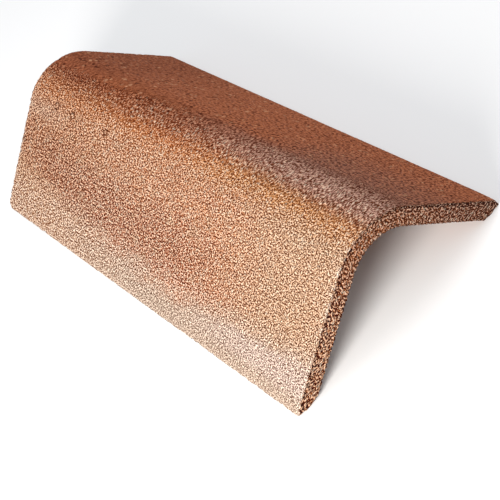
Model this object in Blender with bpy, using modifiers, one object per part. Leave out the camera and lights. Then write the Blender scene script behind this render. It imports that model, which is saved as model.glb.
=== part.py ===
"""A concrete ridge tile: a rounded crest with one straight wing on either side.

Metres, +Z up. The ridge runs along X and the wings fall away along +Y and -Y.
The origin is on the ground, halfway along the tile and halfway between its feet.
"""
from math import cos, radians, sin, tan

import bpy

# Overall size
LENGTH = 0.450
WIDTH = 0.240

# Section
THICKNESS = 0.018
CREST_RADIUS = 0.056
WING_SLOPE = radians(43.0)
CREST_SEGMENTS = 24

# Edge of each wing: a steep nose above a level strip of foot, which then rises a little inwards
NOSE_HEIGHT = 0.0085
NOSE_LEAN = radians(20.0)
FOOT_STRIP = 0.012
FOOT_RISE = 0.002

# Eased edges
ARRIS = 0.0015
ARRIS_STEPS = 2
ARRIS_ANGLE = radians(15.0)
FLAT_ANGLE = radians(0.5)
WELD_DISTANCE = 0.00001

# Where the wing's outer face meets the nose
NOSE_TOP_Y = WIDTH / 2.0 - NOSE_HEIGHT * tan(NOSE_LEAN)

# Height of the centre that the inner and outer crest share, so that both run into the wings
CREST_EDGE_Y = CREST_RADIUS * sin(WING_SLOPE)
CREST_EDGE_Z = NOSE_HEIGHT + (NOSE_TOP_Y - CREST_EDGE_Y) * tan(WING_SLOPE)
CREST_CENTRE_Z = CREST_EDGE_Z - CREST_RADIUS * cos(WING_SLOPE)

# Where the wing's inner face meets the foot
INNER_RADIUS = CREST_RADIUS - THICKNESS
INNER_EDGE_Y = INNER_RADIUS * sin(WING_SLOPE)
INNER_EDGE_Z = CREST_CENTRE_Z + INNER_RADIUS * cos(WING_SLOPE)
INNER_FOOT_Y = INNER_EDGE_Y + (INNER_EDGE_Z - FOOT_RISE) / tan(WING_SLOPE)


def clear_scene():
    """Remove every object that the open file starts with."""
    for item in list(bpy.data.objects):
        bpy.data.objects.remove(item, do_unlink=True)


def make_collection(name):
    """Add a collection to the scene."""
    collection = bpy.data.collections.new(name)
    bpy.context.scene.collection.children.link(collection)
    return collection


def sand_faced_concrete():
    """Sand-faced concrete, coloured right through."""
    material = bpy.data.materials.new("sand_faced_concrete")
    material.use_nodes = True
    shader = material.node_tree.nodes["Principled BSDF"]
    shader.inputs["Base Color"].default_value = (0.44, 0.22, 0.12, 1.0)
    shader.inputs["Roughness"].default_value = 0.9
    shader.inputs["Metallic"].default_value = 0.0
    return material


def crest_arc(radius):
    """Points of a crest from its edge on the -Y side to its edge on the +Y side."""
    points = []
    for step in range(CREST_SEGMENTS + 1):
        turn = WING_SLOPE * (2.0 * step / CREST_SEGMENTS - 1.0)
        points.append((radius * sin(turn), CREST_CENTRE_Z + radius * cos(turn)))
    return points


def wing_edge():
    """Points of the +Y wing's edge, from the outer face round the foot to the inner face."""
    return [
        (NOSE_TOP_Y, NOSE_HEIGHT),
        (WIDTH / 2.0, 0.0),
        (WIDTH / 2.0 - FOOT_STRIP, 0.0),
        (INNER_FOOT_Y, FOOT_RISE),
    ]


def section_outline():
    """The tile's whole section as (y, z) points, clockwise seen from +X."""
    right_edge = wing_edge()
    left_edge = [(-y, z) for y, z in reversed(right_edge)]
    return crest_arc(CREST_RADIUS) + right_edge + crest_arc(INNER_RADIUS)[::-1] + left_edge


def add_ridge_tile(collection):
    """The section, drawn as a filled curve and drawn out along the ridge."""
    curve = bpy.data.curves.new("ridge_tile", "CURVE")
    curve.dimensions = "2D"
    curve.fill_mode = "BOTH"
    curve.extrude = LENGTH / 2.0
    outline = section_outline()
    spline = curve.splines.new("POLY")
    spline.points.add(len(outline) - 1)
    for point, (y, z) in zip(spline.points, outline):
        point.co = (y, z, 0.0, 1.0)
    spline.use_cyclic_u = True

    tile = bpy.data.objects.new("ridge_tile", curve)
    tile.rotation_euler = (radians(90.0), 0.0, radians(90.0))
    tile.data.materials.append(sand_faced_concrete())
    collection.objects.link(tile)
    ease_edges(tile)
    return tile


def ease_edges(tile):
    """Join the end caps to the sides, make each cap one face, then round every sharp edge."""
    weld = tile.modifiers.new("weld", "WELD")
    weld.merge_threshold = WELD_DISTANCE
    plain_ends = tile.modifiers.new("plain_ends", "DECIMATE")
    plain_ends.decimate_type = "DISSOLVE"
    plain_ends.angle_limit = FLAT_ANGLE
    bevel = tile.modifiers.new("eased_edges", "BEVEL")
    bevel.width = ARRIS
    bevel.segments = ARRIS_STEPS
    bevel.limit_method = "ANGLE"
    bevel.angle_limit = ARRIS_ANGLE


def main():
    clear_scene()
    collection = make_collection("ridge tile")
    add_ridge_tile(collection)


main()
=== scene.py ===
"""The looks of a concrete ridge tile: a granular sand-faced surface, open-grained cut ends and worn arrises.

Metres, in the frame's own axes: the ridge runs along X, the wings fall away along +Y and -Y, and +Z is up.
"""
from math import cos, log, radians, sin, tan

import bpy
import numpy as np
from mathutils import Matrix, Vector, noise


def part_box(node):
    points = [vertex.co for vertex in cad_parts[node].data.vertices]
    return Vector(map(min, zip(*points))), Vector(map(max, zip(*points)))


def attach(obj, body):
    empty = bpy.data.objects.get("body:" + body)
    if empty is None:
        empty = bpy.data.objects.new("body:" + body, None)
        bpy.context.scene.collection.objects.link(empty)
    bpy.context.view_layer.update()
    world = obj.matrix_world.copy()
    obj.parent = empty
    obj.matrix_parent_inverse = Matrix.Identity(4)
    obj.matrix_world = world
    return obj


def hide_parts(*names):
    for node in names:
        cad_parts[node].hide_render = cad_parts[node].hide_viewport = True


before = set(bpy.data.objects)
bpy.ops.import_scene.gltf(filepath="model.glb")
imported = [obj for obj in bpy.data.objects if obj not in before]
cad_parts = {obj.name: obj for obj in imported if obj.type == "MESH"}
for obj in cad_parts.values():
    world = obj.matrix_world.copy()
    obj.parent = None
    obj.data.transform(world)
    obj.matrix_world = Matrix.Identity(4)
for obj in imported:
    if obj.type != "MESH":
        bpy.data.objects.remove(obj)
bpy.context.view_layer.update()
TILE_LOW, TILE_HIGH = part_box("ridge_tile")

# The tile's section, as in the solid
LENGTH = TILE_HIGH[0] - TILE_LOW[0]
WIDTH = 0.240
THICKNESS = 0.018
CREST_RADIUS = 0.056
WING_SLOPE = radians(43.0)
NOSE_HEIGHT = 0.0085
NOSE_LEAN = radians(20.0)
FOOT_STRIP = 0.012
FOOT_RISE = 0.002

# The mesh: steps along the ridge, round the section from foot to foot, and through the wall
LENGTH_STEPS = 320
SECTION_STEPS = 224
WALL_STEPS = 13
UNDERSIDE_SKIP = 4
ARC_POINTS = 121
FOOT_BLEND_STEPS = 10

# Relief: the depth and the size of each kind of unevenness
SKIN_DEPTH = 0.00025
WAVE_DEPTH = 0.0002
WAVE_SIZE = 0.070
LUMP_DEPTH = 0.0002
LUMP_SIZE = 0.012
GRAIN_DEPTH = 0.00010
GRAIN_SIZE = 0.0030
SPECK_DEPTH = 0.00010
SPECK_LIMIT = 2.0
RIPPLE_DEPTH = 0.00010
RIPPLE_SIZE = 0.0032
RIPPLE_LENGTH = 0.009
RIPPLE_REACH = 0.045
ROUNDING_PASSES = 3
ROUNDING_SHARE = 0.5
SEED = 7
SETTLING_HEIGHT = 0.02

# How much smoother the underside and the sheltered wing are, and how much rougher the cut ends
UNDERSIDE_SMOOTHNESS = 0.75
SHELTERED_SMOOTHNESS = 0.5
SHELTERED_FADE = 0.06
CUT_ROUGHNESS = 1.2

# Chips along the arrises: how deep and wide they are, their reach over a face, their fading through the wall
CHIP_DEPTH = 0.0018
CHIP_SIZE = 0.005
CHIP_REACH = 0.0022
CHIP_THRESHOLD = 0.1
CHIP_WALL_FADE = 0.7

# Noise: where in its endless field each unevenness is read, so that no two agree, and how its octaves follow
WAVE_SHIFT = (3.1, 0.4, 7.7)
LUMP_SHIFT = (0.3, 5.2, 1.9)
RIPPLE_SHIFT = (4.4, 0.9, 6.3)
CHIP_SHIFT = (8.8, 2.6, 0.1)
FRACTAL_FALL = 0.9
FRACTAL_STEP = 2.1
SMALLEST_GAP = 1e-6

# Knocked corners: place, depth and reach of each, and how far up the way to the tile's middle leads
KNOCKED_CORNERS = (
    ((TILE_HIGH[0], WIDTH / 2.0, 0.004), 0.0020, 0.012),
    ((TILE_HIGH[0], -WIDTH / 2.0, 0.002), 0.0010, 0.005),
)
KNOCK_RISE = 0.06

# Masks kept on the mesh: the painted shadow under the cut ends' outer edge, the pale wear of the arrises
ARRIS_SHADOW_DEPTH = 0.0020
ARRIS_WEAR_REACH = 0.0025
CUT_SHARE_AT_EDGE = 0.5

# The plan on which the sand is laid: how far apart the faces lie in it, the grain's size at the near end and
# on the cut ends, and how much coarser it is at the far end and on the sheltered wing
FACE_SPACING = 1.0
SAND_SIZE = 0.00120
SAND_COARSENING = 1.35
SHELTERED_COARSENING = 1.9
CUT_GRAIN_SIZE = 0.0016
CUT_GRAIN_STRETCH = 1.25

# How grains are drawn out across the crest, and where along the ridge that starts and is full
CREST_STRETCH = 0.45
CREST_STRETCH_REACH = 0.018
CREST_STRETCH_MIDDLE = 0.008
CREST_STRETCH_START = -0.20
CREST_STRETCH_FULL = 0.02

# Floor and light of the studio
FLOOR_SIZE = 8.0
FLOOR_MOTTLE_SIZE = 0.4
FLOOR_GREY = 0.90
FLOOR_PALE_GREY = 0.92
FLOOR_ROUGHNESS = 0.9
WARM_WHITE = (1.0, 0.97, 0.93)
WHITE = (1.0, 1.0, 1.0)
SKY_COLOUR = (0.95, 0.97, 1.0, 1.0)
SKY_STRENGTH = 0.62

# Camera, as fitted to the tile's outline in the photograph
CAMERA_PLACE = Vector((0.7208, -0.2728, 0.6564))
CAMERA_AIM = Vector((0.0768, -0.0305, 0.0158))
CAMERA_ROLL = radians(-30.19)
CAMERA_LENS = 80.07
SENSOR_WIDTH = 36.0


# Section

def crest_centre_height():
    """Height of the centre that the inner and the outer crest share."""
    nose_top = WIDTH / 2.0 - NOSE_HEIGHT * tan(NOSE_LEAN)
    edge_y = CREST_RADIUS * sin(WING_SLOPE)
    edge_z = NOSE_HEIGHT + (nose_top - edge_y) * tan(WING_SLOPE)
    return edge_z - CREST_RADIUS * cos(WING_SLOPE)


def crest_arc(radius):
    """Points (y, z) of a crest from the -Y side to the +Y side."""
    turn = np.linspace(-WING_SLOPE, WING_SLOPE, ARC_POINTS)
    return np.column_stack([radius * np.sin(turn), crest_centre_height() + radius * np.cos(turn)])


def mirrored(points):
    """The same points on the other side, in the opposite order."""
    return (np.asarray(points) * (-1.0, 1.0))[::-1]


def spread(points, steps):
    """Points at equal distances along a line of points, and the distance of each from the line's start."""
    lengths = np.linalg.norm(np.diff(points, axis=0), axis=1)
    along = np.concatenate([[0.0], np.cumsum(lengths)])
    wanted = np.linspace(0.0, along[-1], steps + 1)
    return np.column_stack([np.interp(wanted, along, points[:, axis]) for axis in (0, 1)]), wanted


def outer_line():
    """The outer face from foot to foot: nose, wing, crest, wing, nose."""
    edge = [(WIDTH / 2.0 - NOSE_HEIGHT * tan(NOSE_LEAN), NOSE_HEIGHT), (WIDTH / 2.0, 0.0)]
    return spread(np.vstack([mirrored(edge), crest_arc(CREST_RADIUS), edge]), SECTION_STEPS)


def inner_foot():
    """Where the wing's inner face meets the foot, on the +Y side."""
    arc_end = crest_arc(CREST_RADIUS - THICKNESS)[-1]
    return (arc_end[0] + (arc_end[1] - FOOT_RISE) / tan(WING_SLOPE), FOOT_RISE)


def inner_line():
    """The inner face from foot to foot: wing, crest, wing."""
    edge = [inner_foot()]
    return spread(np.vstack([mirrored(edge), crest_arc(CREST_RADIUS - THICKNESS), edge]), SECTION_STEPS)


def foot_line():
    """The foot from its outer to its inner edge: a level strip that then rises a little."""
    corners = np.array([(WIDTH / 2.0, 0.0), (WIDTH / 2.0 - FOOT_STRIP, 0.0), inner_foot()])
    return spread(corners, WALL_STEPS)[0]


def section_grid():
    """Places (y, z) over the cut section, from the outer face to the inner one, indexed [round, through]."""
    outer, _ = outer_line()
    inner, _ = inner_line()
    through = np.linspace(0.0, 1.0, WALL_STEPS + 1)[None, :, None]
    grid = outer[:, None, :] * (1.0 - through) + inner[:, None, :] * through
    bend = foot_line() - grid[-1]
    for step in range(FOOT_BLEND_STEPS):
        fade = 1.0 - step / FOOT_BLEND_STEPS
        grid[-1 - step] += bend * fade
        grid[step] += bend * (-1.0, 1.0) * fade
    return grid


# Mesh

OUTER, INNER, END, FOOT = range(4)


class Skin:
    """The tile's closed surface, numbered by steps (round, along, through)."""

    def __init__(self):
        self.grid = section_grid()
        self.stations = np.linspace(TILE_LOW[0], TILE_HIGH[0], LENGTH_STEPS + 1)
        self.numbers = {}
        self.places = []
        self.faces = []
        self.kinds = []

    def number(self, step):
        """The vertex at a step, made the first time it is asked for."""
        if step not in self.numbers:
            around, along, through = step
            y, z = self.grid[around, through]
            self.numbers[step] = len(self.places)
            self.places.append((self.stations[along], y, z))
        return self.numbers[step]

    def add_face(self, kind, steps, turned=False):
        """One face, seen from outside with its steps anticlockwise unless it is turned."""
        numbers = [self.number(step) for step in steps]
        self.faces.append(numbers[::-1] if turned else numbers)
        self.kinds.append(kind)

    def add_outer_face(self):
        for around in range(SECTION_STEPS):
            for along in range(LENGTH_STEPS):
                self.add_face(OUTER, [(around, along, 0), (around, along + 1, 0),
                                      (around + 1, along + 1, 0), (around + 1, along, 0)])

    def add_end(self, along):
        for around in range(SECTION_STEPS):
            for through in range(WALL_STEPS):
                corners = [(around, along, through), (around + 1, along, through),
                           (around + 1, along, through + 1), (around, along, through + 1)]
                self.add_face(END, corners, turned=along > 0)

    def add_foot(self, around):
        for along in range(LENGTH_STEPS):
            for through in range(WALL_STEPS):
                corners = [(around, along, through), (around, along + 1, through),
                           (around, along + 1, through + 1), (around, along, through + 1)]
                self.add_face(FOOT, corners, turned=around == 0)

    def add_underside(self):
        """Coarser faces, whose outer edges keep every vertex of the feet and the ends."""
        skip = UNDERSIDE_SKIP
        for around in range(0, SECTION_STEPS, skip):
            for along in range(0, LENGTH_STEPS, skip):
                corners = [(around, along), (around + skip, along),
                           (around + skip, along + skip), (around, along + skip)]
                steps = []
                for start, end in zip(corners, corners[1:] + corners[:1]):
                    steps += self.edge_steps(start, end)
                self.add_face(INNER, [(a, b, WALL_STEPS) for a, b in steps])

    def edge_steps(self, start, end):
        """The steps from start up to end: all of them on the underside's border, else the first alone."""
        on_foot = start[0] == end[0] and start[0] in (0, SECTION_STEPS)
        on_end = start[1] == end[1] and start[1] in (0, LENGTH_STEPS)
        count = UNDERSIDE_SKIP if on_foot or on_end else 1
        turn = [(end[axis] - start[axis]) // UNDERSIDE_SKIP for axis in (0, 1)]
        return [(start[0] + turn[0] * n, start[1] + turn[1] * n) for n in range(count)]

    def build(self):
        self.add_outer_face()
        for along in (0, LENGTH_STEPS):
            self.add_end(along)
        for around in (0, SECTION_STEPS):
            self.add_foot(around)
        self.add_underside()
        mesh = bpy.data.meshes.new("ridge_tile_surface")
        mesh.from_pydata(self.places, [], self.faces)
        mesh.update()
        return mesh

    def steps(self):
        """The steps of every vertex, in the order of their numbers."""
        return np.array(sorted(self.numbers, key=self.numbers.get))


def plan_places(mesh, skin, steps):
    """For each face corner, its place on its own face laid flat, in metres, with the faces set apart."""
    corners = np.empty(len(mesh.loops), dtype=np.int64)
    mesh.loops.foreach_get("vertex_index", corners)
    sizes = np.empty(len(mesh.polygons), dtype=np.int64)
    mesh.polygons.foreach_get("loop_total", sizes)
    kind = np.repeat(skin.kinds, sizes)
    around, along, through = steps[corners].T
    x = skin.stations[along]
    outer_way = centred(outer_line()[1])[around]
    inner_way = centred(inner_line()[1])[around]
    depth = through * THICKNESS / WALL_STEPS
    finer = SAND_SIZE / CUT_GRAIN_SIZE
    outer_plan = coarsened(x, outer_way)
    inner_plan = coarsened(x, inner_way)
    first = np.choose(kind, [outer_plan[0], inner_plan[0], outer_way * finer / CUT_GRAIN_STRETCH, x])
    second = np.choose(kind, [outer_plan[1], inner_plan[1], depth * finer, depth])
    return np.column_stack([first + kind * FACE_SPACING, second, np.zeros(len(kind))])


def centred(distances):
    """Distances along a line, measured from its middle."""
    return distances - distances[-1] / 2.0


def coarsened(x, way):
    """Draws grains out across the crest, and bends the plan into a fan so that grains grow towards -X."""
    nearness = np.clip((x - CREST_STRETCH_START) / (CREST_STRETCH_FULL - CREST_STRETCH_START), 0.0, 1.0)
    pull = np.tanh((way - CREST_STRETCH_MIDDLE) / CREST_STRETCH_REACH)
    way = way - CREST_STRETCH * CREST_STRETCH_REACH * nearness * pull
    rate = log(SAND_COARSENING) / LENGTH
    spread_out = np.exp(rate * (x - TILE_HIGH[0])) / rate
    return spread_out * np.cos(rate * way), spread_out * np.sin(rate * way)


def coordinates(mesh):
    places = np.empty(len(mesh.vertices) * 3)
    mesh.vertices.foreach_get("co", places)
    return places.reshape(-1, 3)


def set_coordinates(mesh, places):
    mesh.vertices.foreach_set("co", np.ascontiguousarray(places).ravel())
    mesh.update()


def normals(mesh):
    turned = np.empty(len(mesh.vertices) * 3)
    mesh.vertex_normals.foreach_get("vector", turned)
    return turned.reshape(-1, 3)


def neighbour_mean(mesh, values):
    """For each vertex, the mean of its neighbours' rows of values."""
    pairs = np.empty(len(mesh.edges) * 2, dtype=np.int64)
    mesh.edges.foreach_get("vertices", pairs)
    first, second = pairs.reshape(-1, 2).T
    total = np.zeros_like(values)
    np.add.at(total, first, values[second])
    np.add.at(total, second, values[first])
    count = np.bincount(first, minlength=len(values)) + np.bincount(second, minlength=len(values))
    return total / count[:, None]


def edge_distance(steps):
    """How far each vertex lies from the nearest arris, along the face that it is on."""
    around, along, through = steps.T
    _, outer_along = outer_line()
    _, inner_along = inner_line()
    to_end = np.minimum(along, LENGTH_STEPS - along) * LENGTH / LENGTH_STEPS
    outer_foot = np.minimum(outer_along[around], outer_along[-1] - outer_along[around])
    inner_foot_way = np.minimum(inner_along[around], inner_along[-1] - inner_along[around])
    depth = through * THICKNESS / WALL_STEPS
    distance = np.full(len(steps), LENGTH)
    on_outer = through == 0
    distance[on_outer] = np.minimum(to_end, outer_foot)[on_outer]
    on_inner = through == WALL_STEPS
    distance[on_inner] = np.minimum(to_end, inner_foot_way)[on_inner]
    on_cut = ~on_outer & ~on_inner
    distance[on_cut] = np.minimum(depth, THICKNESS - depth)[on_cut]
    on_foot = on_cut & ((around == 0) | (around == SECTION_STEPS))
    distance[on_foot] = np.minimum(distance, to_end)[on_foot]
    on_end = on_cut & ~on_foot
    distance[on_end] = np.minimum(distance, outer_foot)[on_end]
    return distance


def coherent(places, size, offset, octaves=1):
    """Smooth noise between about -1 and 1, with bumps of about the given size."""
    shift = Vector(offset)
    values = np.empty(len(places))
    for index, place in enumerate(places):
        values[index] = noise.fractal(Vector(place) / size + shift, FRACTAL_FALL, FRACTAL_STEP, octaves)
    return values


def grains(places, size):
    """Rounded grains packed side by side: 1 on a grain's top, 0 in the joints between grains."""
    values = np.empty(len(places))
    for index, place in enumerate(places):
        near = noise.voronoi(Vector(place) / size)[0]
        values[index] = 1.0 - min(1.0, near[0] / max(near[1], SMALLEST_GAP)) ** 2
    return values


def wear_depth(places, steps):
    """How far each vertex lies under the solid's surface: unevenness, grain, ripples and chips."""
    underside = steps[:, 2] == WALL_STEPS
    speck = np.random.default_rng(SEED).normal(size=len(places)).clip(-SPECK_LIMIT, SPECK_LIMIT)
    wave = coherent(places, WAVE_SIZE, WAVE_SHIFT)
    lump = coherent(places, LUMP_SIZE, LUMP_SHIFT, octaves=2)
    drawn_out = places * (1.0, RIPPLE_SIZE / RIPPLE_LENGTH, RIPPLE_SIZE / RIPPLE_LENGTH)
    ripple = coherent(drawn_out, RIPPLE_SIZE, RIPPLE_SHIFT)
    chip = coherent(places, CHIP_SIZE, CHIP_SHIFT, octaves=2)

    rough = 1.0 - UNDERSIDE_SMOOTHNESS * underside
    rough *= 1.0 - SHELTERED_SMOOTHNESS * np.clip(places[:, 1] / SHELTERED_FADE, 0.0, 1.0)
    grainy = rough * (1.0 + CUT_ROUGHNESS * on_cut_end(steps))
    depth = SKIN_DEPTH + WAVE_DEPTH * (0.5 - 0.5 * wave) + LUMP_DEPTH * (0.5 - 0.5 * lump) * rough
    depth += GRAIN_DEPTH * (1.0 - grains(places, GRAIN_SIZE)) * grainy
    depth += SPECK_DEPTH * (1.0 - speck) * grainy
    depth += RIPPLE_DEPTH * (0.5 - 0.5 * ripple) * rough * np.exp(-(places[:, 1] / RIPPLE_REACH) ** 2)
    reach = np.exp(-(edge_distance(steps) / CHIP_REACH) ** 2)
    reach *= 1.0 - CHIP_WALL_FADE * steps[:, 2] / WALL_STEPS
    return depth + CHIP_DEPTH * np.clip(chip - CHIP_THRESHOLD, 0.0, 1.0) * reach


def on_cut_end(steps):
    """Whether each vertex is on one of the two cut ends."""
    return (steps[:, 1] == 0) | (steps[:, 1] == LENGTH_STEPS)


def worn_surface():
    """The tile's mesh with eased edges, chips and grain, never outside the solid."""
    skin = Skin()
    mesh = skin.build()
    steps = skin.steps()
    places = coordinates(mesh)
    for _ in range(ROUNDING_PASSES):
        places += ROUNDING_SHARE * (neighbour_mean(mesh, places) - places)
    set_coordinates(mesh, places)
    inward = -normals(mesh)
    worn = places + inward * wear_depth(places, steps)[:, None] + corner_wear(places)
    set_coordinates(mesh, settled(worn))
    write_masks(mesh, steps)
    plan = mesh.attributes.new("plan", "FLOAT_VECTOR", "CORNER")
    plan.data.foreach_set("vector", plan_places(mesh, skin, steps).astype(np.float32).ravel())
    mesh.shade_smooth()
    return mesh


def write_masks(mesh, steps):
    """Masks from 0 to 1 for the material."""
    through = steps[:, 2]
    depth = through * THICKNESS / WALL_STEPS
    ends = on_cut_end(steps)
    # Painted shadow: a mask for the dark row just under the outer edge of each cut end.
    arris_shadow_mask = ends * (through > 0) * np.exp(1.0 - depth / ARRIS_SHADOW_DEPTH).clip(0.0, 1.0)
    write_attribute(mesh, "cut_end", ends * (1.0 - CUT_SHARE_AT_EDGE * (through == 0)))
    write_attribute(mesh, "painted_arris_shadow", arris_shadow_mask)
    write_attribute(mesh, "arris", (through == 0) * np.exp(-edge_distance(steps) / ARRIS_WEAR_REACH))
    write_attribute(mesh, "underside", through == WALL_STEPS)


def corner_wear(places):
    """Moves the surface towards the tile's middle around each knocked corner."""
    moved = np.zeros_like(places)
    for corner, depth, reach in KNOCKED_CORNERS:
        inward = np.array([-corner[0], -corner[1], KNOCK_RISE])
        inward /= np.linalg.norm(inward)
        away = np.linalg.norm(places - np.array(corner), axis=1)
        moved += inward * (depth * np.exp(-(away / reach) ** 2))[:, None]
    return moved


def settled(places):
    """Lets the feet down until the lowest point touches the ground."""
    lowest = places[:, 2].min()
    near_ground = np.clip(1.0 - places[:, 2] / SETTLING_HEIGHT, 0.0, 1.0)
    return places - np.column_stack([np.zeros((len(places), 2)), lowest * near_ground])


def write_attribute(mesh, name, values):
    attribute = mesh.attributes.new(name, "FLOAT", "POINT")
    attribute.data.foreach_set("value", np.asarray(values, dtype=np.float32))


# Material

class Nodes:
    """Short names for adding linked shader nodes to one material."""

    def __init__(self, name):
        self.material = bpy.data.materials.new(name)
        self.material.use_nodes = True
        self.tree = self.material.node_tree
        self.shader = self.tree.nodes["Principled BSDF"]

    def add(self, kind, **settings):
        node = self.tree.nodes.new(kind)
        for key, value in settings.items():
            setattr(node, key, value)
        return node

    def put(self, socket, value):
        """Link a socket to another, or give it a plain value."""
        if isinstance(value, bpy.types.NodeSocket):
            self.tree.links.new(value, socket)
        else:
            socket.default_value = value

    def place(self):
        return self.add("ShaderNodeTexCoord").outputs["Object"]

    def axis(self, name):
        node = self.add("ShaderNodeSeparateXYZ")
        self.put(node.inputs[0], self.place())
        return node.outputs[name]

    def attribute(self, name):
        return self.add("ShaderNodeAttribute", attribute_name=name).outputs["Fac"]

    def noise(self, size, detail=2.0, roughness=0.5, stretch=1.0, across=1.0):
        """Noise from 0 to 1 with bumps of about the given size, drawn out along or across the ridge."""
        node = self.add("ShaderNodeTexNoise")
        shrink = self.add("ShaderNodeVectorMath", operation="MULTIPLY")
        self.put(shrink.inputs[0], self.place())
        shrink.inputs[1].default_value = (1.0 / stretch, 1.0 / across, 1.0 / across)
        self.put(node.inputs["Vector"], shrink.outputs[0])
        node.inputs["Scale"].default_value = 1.0 / size
        node.inputs["Detail"].default_value = detail
        node.inputs["Roughness"].default_value = roughness
        return node.outputs["Fac"]

    def math(self, operation, first, second=0.0):
        node = self.add("ShaderNodeMath", operation=operation)
        self.put(node.inputs[0], first)
        self.put(node.inputs[1], second)
        return node.outputs[0]

    def total(self, first, *others):
        for other in others:
            first = self.math("ADD", first, other)
        return first

    def product(self, first, *others):
        for other in others:
            first = self.math("MULTIPLY", first, other)
        return first

    def opposite(self, mask):
        """1 where the mask is 0, and 0 where it is 1."""
        return self.math("SUBTRACT", 1.0, mask)

    def span(self, value, start, full, weak=0.0, strong=1.0):
        """Weak up to the start and strong from full on, with a smooth change between, either way round."""
        node = self.add("ShaderNodeMapRange", interpolation_type="SMOOTHSTEP")
        self.put(node.inputs["Value"], value)
        self.put(node.inputs["From Min"], start)
        self.put(node.inputs["From Max"], full)
        self.put(node.inputs["To Min"], weak)
        self.put(node.inputs["To Max"], strong)
        return node.outputs["Result"]

    def band(self, place, start, full, fading, end):
        """1 between full and fading, 0 outside start and end."""
        return self.product(self.span(place, start, full), self.span(place, end, fading))

    def mix(self, factor, first, second, blend="MIX"):
        node = self.add("ShaderNodeMix", data_type="RGBA", blend_type=blend)
        self.put(node.inputs[0], factor)
        self.put(node.inputs[6], first)
        self.put(node.inputs[7], second)
        return node.outputs[2]

    def darken(self, factor, colour, shade):
        return self.mix(factor, colour, shade, blend="MULTIPLY")

    def mix_value(self, factor, first, second):
        node = self.add("ShaderNodeMix", data_type="FLOAT")
        self.put(node.inputs[0], factor)
        self.put(node.inputs[2], first)
        self.put(node.inputs[3], second)
        return node.outputs[0]

    def bump(self, height, distance, after=None):
        node = self.add("ShaderNodeBump")
        node.inputs["Distance"].default_value = distance
        self.put(node.inputs["Height"], height)
        if after is not None:
            self.put(node.inputs["Normal"], after)
        return node.outputs["Normal"]


def grey(value):
    return (value, value, value, 1.0)


# Colours

BRICK = (0.440, 0.138, 0.062, 1.0)
DARK_BRICK = (0.290, 0.088, 0.042, 1.0)
CREST_BROWN = (0.460, 0.142, 0.058, 1.0)
# The next colour is painted shade, for the brick wing beside the crest at the near end.
SHADED_SHOULDER = (0.275, 0.130, 0.096, 1.0)
ORANGE = (0.575, 0.212, 0.072, 1.0)
GOLD = (0.550, 0.240, 0.080, 1.0)
TAN = (0.465, 0.185, 0.080, 1.0)
BROWN = (0.325, 0.095, 0.036, 1.0)
STRAW = (0.445, 0.288, 0.176, 1.0)
PINK = (0.450, 0.180, 0.100, 1.0)
# The next colour is a painted sheen: a mauve reflection painted along the near crest.
CREST_SHEEN_MAUVE = (0.625, 0.348, 0.268, 1.0)
CREAM = (0.400, 0.298, 0.225, 1.0)
WARM_CREAM = (0.560, 0.325, 0.188, 1.0)
PALE_MAUVE = (0.470, 0.362, 0.315, 1.0)
PALE_SCUFF = (0.560, 0.370, 0.270, 1.0)
ARRIS_PALE = (0.950, 0.800, 0.660, 1.0)
CREVICE = (0.200, 0.068, 0.008, 1.0)
CUT_CREVICE = (0.080, 0.015, 0.003, 1.0)
# The grain-top and fleck colours below come as lit copies, partly painted highlight, and as copies for the
# shaded wing.
GRAIN_LIGHT = (0.885, 0.618, 0.440, 1.0)
FAR_GRAIN = (0.880, 0.560, 0.375, 1.0)
FOOT_GRAIN = (1.000, 0.768, 0.618, 1.0)
GRAIN_PALE = (1.000, 0.850, 0.660, 1.0)
GRAIN_RED = (0.620, 0.215, 0.090, 1.0)
FLECK = (0.780, 0.420, 0.230, 1.0)
CUT_BROWN = (0.660, 0.225, 0.060, 1.0)
# The next colour is painted shade on the cut ends, towards +Y, away from the key light.
CUT_SHADED = (0.340, 0.098, 0.028, 1.0)
CUT_GRAIN = (0.930, 0.635, 0.445, 1.0)
# The next grain colour is painted shade, for the grain tops on that part of the cut ends.
CUT_GRAIN_SHADED = (0.620, 0.400, 0.300, 1.0)
UNDER_BROWN = (0.300, 0.140, 0.080, 1.0)


# Zones of colour. Names in ALONG run along the ridge, on X, and those in ACROSS or BAND across it, on Y.
# The values are those of Nodes.span, or for a BAND those of Nodes.band, in metres and then in shares.
# PATCHES are the same for the values of a noise, and a FRAY is the size and the reach of a ragged border.

FRAY_STRETCH = 2.0
CREST_FRAY = (0.020, 0.020)
CREST_CHANGE_ACROSS = (-0.022, 0.012)
CREST_SLANT = -0.030

WING_FRAY = (0.016, 0.030)
BROWN_BAND = (-0.104, -0.088, -0.070, -0.046)
BROWN_NEAR_ALONG = (0.12, 0.04, 0.35, 1.0)
BROWN_FAR_ALONG = (-0.21, -0.15, 0.5, 1.0)
STRAW_ALONG = (0.08, 0.18, 0.0, 0.75)
SCUFF_ALONG = (-0.14, -0.20, 0.0, 0.8)
SCUFF_ACROSS = (-0.052, -0.038)

PATCH_SIZE = 0.011
PINK_PATCHES = (0.52, 0.70, 0.0, 0.5)
STRAW_PATCHES = (0.46, 0.30, 0.0, 0.5)

ORANGE_FRAY = (0.030, 0.018)
ORANGE_ACROSS = (-0.036, -0.015)
GOLD_ALONG = (-0.02, 0.12)

CREAM_FRAY = (0.018, 0.036)
CREAM_ACROSS = (-0.088, -0.113)
CREAM_CURVE = -0.35
CREAM_SHIFT_ALONG = (0.0, -0.21, 0.0, -0.006)
COOL_CREAM_ALONG = (-0.19, 0.03)
TIP_ALONG = (0.05, 0.17)
TIP_ACROSS = (-0.100, -0.112)
TIP_EDGE_ACROSS = (-0.116, -0.106)

DARKER_BRICK_ALONG = (0.04, -0.20, 0.0, 0.6)
DARKEST_BRICK_ALONG = (-0.08, -0.20, 0.0, 0.8)
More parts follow.
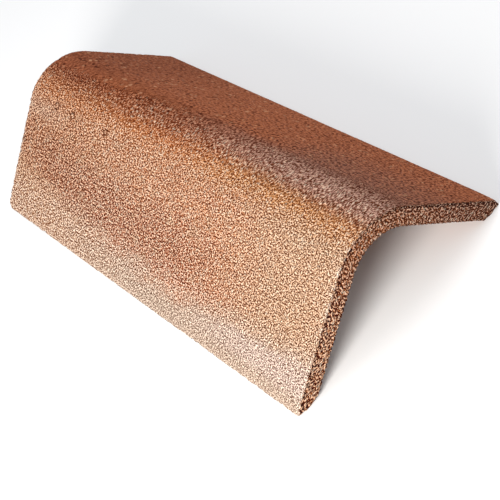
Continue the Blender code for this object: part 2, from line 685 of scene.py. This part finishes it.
# Where the painted shade beside the crest at the near end lies.
SHADED_SHOULDER_ALONG = (0.05, 0.13)
SHADED_SHOULDER_ACROSS = (0.110, 0.040, 0.0, 0.7)
CREST_BROWN_ALONG = (0.05, -0.12)
CREST_BROWN_ACROSS = (0.030, 0.010, 0.0, 0.9)

# The painted sheen on the crest: its frayed border, its band across the ridge and its reach along it.
SHEEN_FRAY = (0.012, 0.016)
SHEEN_BAND = (-0.006, 0.013, 0.020, 0.038)
SHEEN_ALONG = (-0.05, 0.17)

# Where the painted shade on the cut ends starts and is full.
CUT_SHADE_ACROSS = (-0.06, 0.08)


def ragged(n, size, reach):
    """A wandering distance of up to about half the reach either way, to fray the border of a zone."""
    wander = n.noise(size, detail=4.0, roughness=0.65, stretch=FRAY_STRETCH)
    return n.product(n.math("SUBTRACT", wander, 0.5), reach)


def slanted(n, slant):
    """The place across the ridge, measured from a line that runs a little askew to it."""
    return n.total(n.axis("Y"), n.product(n.axis("X"), slant))


def sheltered_side(n, border=CREST_CHANGE_ACROSS, slant=CREST_SLANT):
    """1 on the wing towards +Y, 0 on the other, with a frayed change over the crest."""
    return n.span(n.total(slanted(n, slant), ragged(n, *CREST_FRAY)), *border)


def wing_colour(n):
    """The light wing: tan and brown in lengthwise zones, an orange band under the crest, a cream foot."""
    along = n.axis("X")
    side = n.total(n.axis("Y"), ragged(n, *WING_FRAY))
    brown = n.product(n.band(side, *BROWN_BAND), n.span(along, *BROWN_NEAR_ALONG))
    colour = n.mix(n.product(brown, n.span(along, *BROWN_FAR_ALONG)), TAN, BROWN)
    patches = n.noise(PATCH_SIZE)
    colour = n.mix(n.span(patches, *PINK_PATCHES), colour, PINK)
    colour = n.mix(n.span(patches, *STRAW_PATCHES), colour, STRAW)
    colour = n.mix(n.span(along, *STRAW_ALONG), colour, STRAW)
    scuff = n.product(n.span(along, *SCUFF_ALONG), n.span(side, *SCUFF_ACROSS))
    colour = n.mix(scuff, colour, PALE_SCUFF)
    upper = n.total(slanted(n, CREST_SLANT), ragged(n, *ORANGE_FRAY))
    orange = n.mix(n.span(along, *GOLD_ALONG), ORANGE, GOLD)
    return with_cream_foot(n, n.mix(n.span(upper, *ORANGE_ACROSS), colour, orange))


def with_cream_foot(n, colour):
    """Adds the cream foot, which widens towards both ends, and the pale mauve tip at its near end."""
    along = n.axis("X")
    curve = n.product(along, along, CREAM_CURVE)
    place = n.total(n.axis("Y"), ragged(n, *CREAM_FRAY), curve, n.span(along, *CREAM_SHIFT_ALONG))
    cream = n.mix(n.span(along, *COOL_CREAM_ALONG), WARM_CREAM, CREAM)
    colour = n.mix(n.span(place, *CREAM_ACROSS), colour, cream)
    tip = n.product(n.span(place, *TIP_ACROSS), n.span(n.axis("Y"), *TIP_EDGE_ACROSS))
    return n.mix(n.product(tip, n.span(along, *TIP_ALONG)), colour, PALE_MAUVE)


def brick_colour(n):
    """The other wing: brick, darker at the far end, with painted shade beside the crest at the near end,
    brown on the far crest.
    """
    along = n.axis("X")
    side = n.axis("Y")
    colour = n.mix(n.span(along, *DARKER_BRICK_ALONG), BRICK, DARK_BRICK)
    # Painted shade: a darker patch beside the crest at the near end.
    shoulder_shade = n.product(n.span(along, *SHADED_SHOULDER_ALONG), n.span(side, *SHADED_SHOULDER_ACROSS))
    colour = n.mix(shoulder_shade, colour, SHADED_SHOULDER)
    crest = n.product(n.span(along, *CREST_BROWN_ALONG), n.span(side, *CREST_BROWN_ACROSS))
    colour = n.mix(crest, colour, CREST_BROWN)
    return n.mix(n.span(along, *DARKEST_BRICK_ALONG), colour, DARK_BRICK)


def crest_painted_sheen(n):
    """1 on the painted mauve sheen along the near half of the crest: a reflection painted into the colour.
    """
    side = n.total(n.axis("Y"), ragged(n, *SHEEN_FRAY))
    return n.product(n.band(side, *SHEEN_BAND), n.span(n.axis("X"), *SHEEN_ALONG))


def broad_colour(n, cut):
    """The colours of every face before its grains are drawn on it."""
    colour = n.mix(sheltered_side(n), wing_colour(n), brick_colour(n))
    # Painted sheen: a mauve reflection painted along the near half of the crest.
    colour = n.mix(crest_painted_sheen(n), colour, CREST_SHEEN_MAUVE)
    # Painted shade: the cut ends darken towards +Y, away from the key light.
    cut_colour = n.mix(n.span(n.axis("Y"), *CUT_SHADE_ACROSS), CUT_BROWN, CUT_SHADED)
    colour = n.mix(cut, colour, cut_colour)
    return n.mix(n.attribute("underside"), colour, UNDER_BROWN)


# Grain. A RARE value is the share of the plan's cells that stay without a single light grain, or without a
# pit. The cells are measured in grains, and the spots in cells.

RARE_GRAIN = 0.84
RARE_PIT = 0.86
SHELTERED_RARE_GRAIN = 0.92
SHELTERED_RARE_PIT = 0.80
RARITY_FADE = 0.08
CELL_SIZE = 1.3
SPOT_SHRINKING = 0.7
SPOT_EDGE = (0.62, 0.25)

FOLD_SIZE = 0.0009
FOLD_STRETCH = 2.8
FOLD_SINKING = 0.121
FOLD_GAIN = 1.2
FOLD_SHARE = 0.80
FOLD_BAND = (-0.026, 0.002, 0.022, 0.040)
FOLD_ALONG = (-0.22, -0.06, 0.35, 1.0)

GRAIN_SLANT = -0.090
GRAIN_CHANGE_ACROSS = (0.019, 0.029)
LIGHT_CHANGE_ACROSS = (-0.006, 0.034)


def sand_layer(n, plan, size, rare_grain, rare_pit):
    """Sand of one size over the plan: its height from 0 to 1, masks of single light grains and of pits."""
    sand = n.add("ShaderNodeTexNoise", noise_dimensions="2D")
    n.put(sand.inputs["Vector"], plan)
    sand.inputs["Scale"].default_value = 1.0 / size
    sand.inputs["Detail"].default_value = 1.0
    sand.inputs["Roughness"].default_value = 0.5
    cells = n.add("ShaderNodeTexVoronoi", feature="F1", voronoi_dimensions="2D")
    n.put(cells.inputs["Vector"], plan)
    cells.inputs["Scale"].default_value = 1.0 / (CELL_SIZE * size)
    chance = n.add("ShaderNodeSeparateColor")
    n.put(chance.inputs[0], cells.outputs["Color"])
    shrinking = n.total(chance.outputs["Blue"], SPOT_SHRINKING)
    spot = n.span(n.product(cells.outputs["Distance"], shrinking), *SPOT_EDGE)
    single = n.product(spot, n.span(chance.outputs["Green"], rare_grain, rare_grain + RARITY_FADE))
    pit = n.product(spot, n.span(chance.outputs["Red"], rare_pit, rare_pit + RARITY_FADE))
    return sand.outputs["Fac"], single, pit


def sand_grain(n, coarse):
    """Fine and coarse sand, mixed by the mask of the coarse: height, single light grains and pits."""
    plan = n.add("ShaderNodeAttribute", attribute_name="plan").outputs["Vector"]
    fine_sand = sand_layer(n, plan, SAND_SIZE, RARE_GRAIN, RARE_PIT)
    coarse_size = SAND_SIZE * SHELTERED_COARSENING
    coarse_sand = sand_layer(n, plan, coarse_size, SHELTERED_RARE_GRAIN, SHELTERED_RARE_PIT)
    return [n.mix_value(coarse, one, other) for one, other in zip(fine_sand, coarse_sand)]


def crest_folds(n):
    """Short wavy folds of the skin that run over the crest: their height from 0 to 1, and where they lie."""
    where = n.product(n.band(slanted(n, CREST_SLANT), *FOLD_BAND), n.span(n.axis("X"), *FOLD_ALONG))
    folds = n.noise(FOLD_SIZE, detail=1.0, across=FOLD_STRETCH)
    return n.product(n.math("SUBTRACT", folds, FOLD_SINKING), FOLD_GAIN), where


# Grain contrast, from 0 to 1, named like the zones of colour

FOOT_CONTRAST_ALONG = (-0.12, 0.10, 1.00, 0.74)
FOOT_CONTRAST_ACROSS = (-0.118, -0.085)
UPPER_CONTRAST_ACROSS = (-0.045, -0.025, 1.0, 0.96)
BRICK_CONTRAST_ALONG = (-0.15, 0.12, 0.40, 0.74)
BESIDE_CREST_CONTRAST = 0.95
BESIDE_CREST_ALONG = (-0.10, 0.05)
BESIDE_CREST_ACROSS = (0.055, 0.025)
CUT_CONTRAST_ACROSS = (-0.06, 0.00, 1.0, 0.88)


def grain_contrast(n, cut, brick_side):
    """How strongly light grains and dark joints stand out."""
    foot = n.span(n.axis("X"), *FOOT_CONTRAST_ALONG)
    light_wing = n.product(n.span(n.axis("Y"), *FOOT_CONTRAST_ACROSS, foot),
                           n.span(n.axis("Y"), *UPPER_CONTRAST_ACROSS))
    brick_wing = n.span(n.axis("X"), *BRICK_CONTRAST_ALONG)
    beside_crest = n.product(n.span(n.axis("Y"), *BESIDE_CREST_ACROSS),
                             n.span(n.axis("X"), *BESIDE_CREST_ALONG))
    brick_wing = n.mix_value(beside_crest, brick_wing, BESIDE_CREST_CONTRAST)
    wings = n.mix_value(brick_side, light_wing, brick_wing)
    return n.mix_value(cut, wings, n.span(n.axis("Y"), *CUT_CONTRAST_ACROSS))


# Heights in the sand where a joint or a light top starts and is full, on the face and on the cut ends, how
# strong the tops are on the shaded and on the lit side, whose paler tops are partly painted highlight, and
# where their colours change

JOINT_START = (0.55, 0.56)
JOINT_FULL_ALONG = (-0.20, 0.05, 0.43, 0.38)
CUT_JOINT_FULL = 0.48
TOP_START = (0.52, 0.53)
TOP_FULL = (0.65, 0.60)
TOP_SHARES = (0.5, 0.88)
FAR_GRAIN_ALONG = (-0.06, -0.18)
FOOT_GRAIN_ACROSS = (-0.080, -0.105)
# The next values set where the painted shade on the cut ends' grain tops starts and is full.
CUT_GRAIN_SHADE_ACROSS = (-0.08, 0.00)


def with_joints(n, colour, cut, height, contrast):
    """Adds the dark joints between the grains."""
    full = n.mix_value(cut, n.span(n.axis("X"), *JOINT_FULL_ALONG), CUT_JOINT_FULL)
    joint = n.span(height, n.mix_value(cut, *JOINT_START), full)
    return n.darken(n.product(joint, contrast), colour, n.mix(cut, CREVICE, CUT_CREVICE))


def with_light_tops(n, colour, cut, height, contrast, lit):
    """Adds the light tops of the grains: pale where the key light falls, partly painted highlight, and red
    on the shaded wing.
    """
    # Painted shade: the grain tops on the cut ends dim towards +Y.
    cut_grain = n.mix(n.span(n.axis("Y"), *CUT_GRAIN_SHADE_ACROSS), CUT_GRAIN, CUT_GRAIN_SHADED)
    lit_grain = n.mix(n.span(n.axis("X"), *FAR_GRAIN_ALONG), GRAIN_LIGHT, FAR_GRAIN)
    lit_grain = n.mix(n.span(n.axis("Y"), *FOOT_GRAIN_ACROSS), lit_grain, FOOT_GRAIN)
    light = n.mix(cut, n.mix(lit, GRAIN_RED, lit_grain), cut_grain)
    top = n.span(height, n.mix_value(cut, *TOP_START), n.mix_value(cut, *TOP_FULL))
    return n.mix(n.product(top, contrast, n.span(lit, 0.0, 1.0, *TOP_SHARES)), colour, light)


# Single spots, wear and the painted shadow under the cut ends' outer edge. The burst blisters, on the far
# half of the light wing, have a middle and a radius.

BLISTERS = (
    ((-0.0895, -0.0318, 0.0871), 0.0026),
    ((-0.1465, -0.0332, 0.0860), 0.0030),
    ((-0.1755, -0.0325, 0.0865), 0.0034),
    ((-0.2190, -0.0668, 0.0552), 0.0024),
)
BLISTER_RIM = 0.0013
BLISTER_SHARE = 0.95

PIT_SHARE = 0.75
SINGLE_SHARE = 0.40
SHELTERED_SINGLE_SHARE = 0.55
ARRIS_PATCH_SIZE = 0.0035
ARRIS_PATCHES = (0.44, 0.56)
ARRIS_HEIGHTS = (0.44, 0.52)
# The painted shadow under the cut ends' outer edge: its raggedness, the size of its patches, and where it
# starts and is full.
ARRIS_SHADOW_RAGGEDNESS = 0.5
ARRIS_SHADOW_PATCH_SIZE = 0.0045
ARRIS_SHADOW_HEIGHTS = (0.87, 0.77)


def blister_rims(n):
    """1 on the dark rims of the burst blisters."""
    rims = 0.0
    for middle, radius in BLISTERS:
        away = n.add("ShaderNodeVectorMath", operation="DISTANCE")
        n.put(away.inputs[0], n.place())
        away.inputs[1].default_value = middle
        off_rim = n.math("ABSOLUTE", n.math("SUBTRACT", away.outputs["Value"], radius))
        rims = n.math("MAXIMUM", rims, n.span(off_rim, BLISTER_RIM, 0.0))
    return rims


def with_pale_arris(n, colour, height):
    """Adds the pale wear of the light wing's outer edges, in patches and only on the grains."""
    patches = n.span(n.noise(ARRIS_PATCH_SIZE), *ARRIS_PATCHES)
    pale = n.product(n.attribute("arris"), n.opposite(sheltered_side(n)), patches)
    return n.mix(n.product(pale, n.span(height, *ARRIS_HEIGHTS)), colour, ARRIS_PALE)


def with_painted_arris_shadow(n, colour, height):
    """Adds painted shadow just under the outer edge of the cut ends, where the outer face overhangs them: a
    ragged row of dark spots.
    """
    patches = n.product(n.noise(ARRIS_SHADOW_PATCH_SIZE), ARRIS_SHADOW_RAGGEDNESS)
    shadow_spots = n.product(n.attribute("painted_arris_shadow"), n.span(n.total(height, patches), *ARRIS_SHADOW_HEIGHTS))
    return n.darken(shadow_spots, colour, CREVICE)


# Roughness and bump. The shares are those of the face and of the cut ends.

ROUGHNESS_PATCH_SIZE = 0.004
ROUGHNESS_RANGE = (0.3, 0.7, 0.78, 0.98)
SPECULAR_LEVEL = 0.06
TOOTH_SIZE = 0.0011
TOOTH_BUMP = 0.0004
SAND_BUMP = 0.0022
BUMP_SHARES = (1.0, 2.0)


def sand_face():
    """Sand-faced concrete in brindled terracotta colours, its grains light on top and dark between."""
    n = Nodes("sand_faced_concrete_looks")
    cut = n.attribute("cut_end")
    face = n.opposite(cut)
    brick_side = n.product(sheltered_side(n, GRAIN_CHANGE_ACROSS, GRAIN_SLANT), face)
    # Painted light: 1 where the key light falls, on the light wing and the cut ends; it picks the lit or the
    # shaded copy of the grain tops and flecks.
    lit = n.opposite(n.product(sheltered_side(n, LIGHT_CHANGE_ACROSS, GRAIN_SLANT), face))
    height, single, pit = sand_grain(n, brick_side)
    folds, folded = crest_folds(n)
    height = n.mix_value(n.product(folded, face, FOLD_SHARE), height, folds)
    contrast = grain_contrast(n, cut, brick_side)

    colour = with_joints(n, broad_colour(n, cut), cut, height, contrast)
    colour = with_light_tops(n, colour, cut, height, contrast, lit)
    colour = n.darken(n.product(pit, PIT_SHARE), colour, CREVICE)
    colour = with_pale_arris(n, colour, height)
    single_share = n.mix_value(brick_side, n.product(contrast, SINGLE_SHARE), SHELTERED_SINGLE_SHARE)
    # Flecks: near white where the key light falls, partly painted glints, and orange on the shaded wing.
    colour = n.mix(n.product(single, single_share), colour, n.mix(lit, FLECK, GRAIN_PALE))
    colour = n.darken(n.product(blister_rims(n), BLISTER_SHARE), colour, CREVICE)
    # The last layer is the painted shadow under the cut ends' outer edge.
    n.put(n.shader.inputs["Base Color"], with_painted_arris_shadow(n, colour, height))

    n.put(n.shader.inputs["Roughness"], n.span(n.noise(ROUGHNESS_PATCH_SIZE, detail=3.0), *ROUGHNESS_RANGE))
    n.shader.inputs["Specular IOR Level"].default_value = SPECULAR_LEVEL

    tooth = n.bump(n.noise(TOOTH_SIZE, roughness=0.6), TOOTH_BUMP)
    relief = n.product(height, n.mix_value(cut, *BUMP_SHARES))
    n.put(n.shader.inputs["Normal"], n.bump(relief, SAND_BUMP, after=tooth))
    return n.material


def floor_material():
    n = Nodes("pale_floor")
    mottle = n.noise(FLOOR_MOTTLE_SIZE)
    n.put(n.shader.inputs["Base Color"], n.mix(mottle, grey(FLOOR_GREY), grey(FLOOR_PALE_GREY)))
    n.shader.inputs["Roughness"].default_value = FLOOR_ROUGHNESS
    return n.material


# Pieces

def add_tile():
    tile = bpy.data.objects.new("ridge_tile_weathered", worn_surface())
    bpy.context.scene.collection.objects.link(tile)
    tile.data.materials.append(sand_face())
    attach(tile, "root")
    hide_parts("ridge_tile")


def add_floor():
    bpy.ops.mesh.primitive_plane_add(size=FLOOR_SIZE, location=(0.0, 0.0, 0.0))
    floor = bpy.context.object
    floor.name = "floor"
    floor.data.materials.append(floor_material())


def add_camera():
    data = bpy.data.cameras.new("camera")
    data.lens = CAMERA_LENS
    data.sensor_width = SENSOR_WIDTH
    camera = bpy.data.objects.new("camera", data)
    turn = (CAMERA_AIM - CAMERA_PLACE).to_track_quat("-Z", "Y").to_matrix().to_4x4()
    camera.matrix_world = Matrix.Translation(CAMERA_PLACE) @ turn @ Matrix.Rotation(CAMERA_ROLL, 4, "Z")
    bpy.context.scene.collection.objects.link(camera)
    bpy.context.scene.camera = camera


def add_soft_light(name, place, aim, size, power, colour):
    data = bpy.data.lights.new(name, "AREA")
    data.shape = "DISK"
    data.size = size
    data.energy = power
    data.color = colour
    light = bpy.data.objects.new(name, data)
    light.location = place
    light.rotation_euler = (Vector(aim) - Vector(place)).to_track_quat("-Z", "Y").to_euler()
    bpy.context.scene.collection.objects.link(light)


def light_studio():
    add_soft_light("key", place=(0.60, -0.90, 0.42), aim=(0.05, 0.0, 0.05),
                   size=0.4, power=17.5, colour=WARM_WHITE)
    add_soft_light("top", place=(-0.3, 0.3, 1.8), aim=(0.0, 0.0, 0.0),
                   size=1.2, power=11.0, colour=WHITE)
    world = bpy.data.worlds.new("studio")
    world.use_nodes = True
    background = world.node_tree.nodes["Background"]
    background.inputs["Color"].default_value = SKY_COLOUR
    background.inputs["Strength"].default_value = SKY_STRENGTH
    bpy.context.scene.world = world
    bpy.context.scene.view_settings.view_transform = "Standard"


def main():
    add_tile()
    add_floor()
    add_camera()
    light_studio()


main()
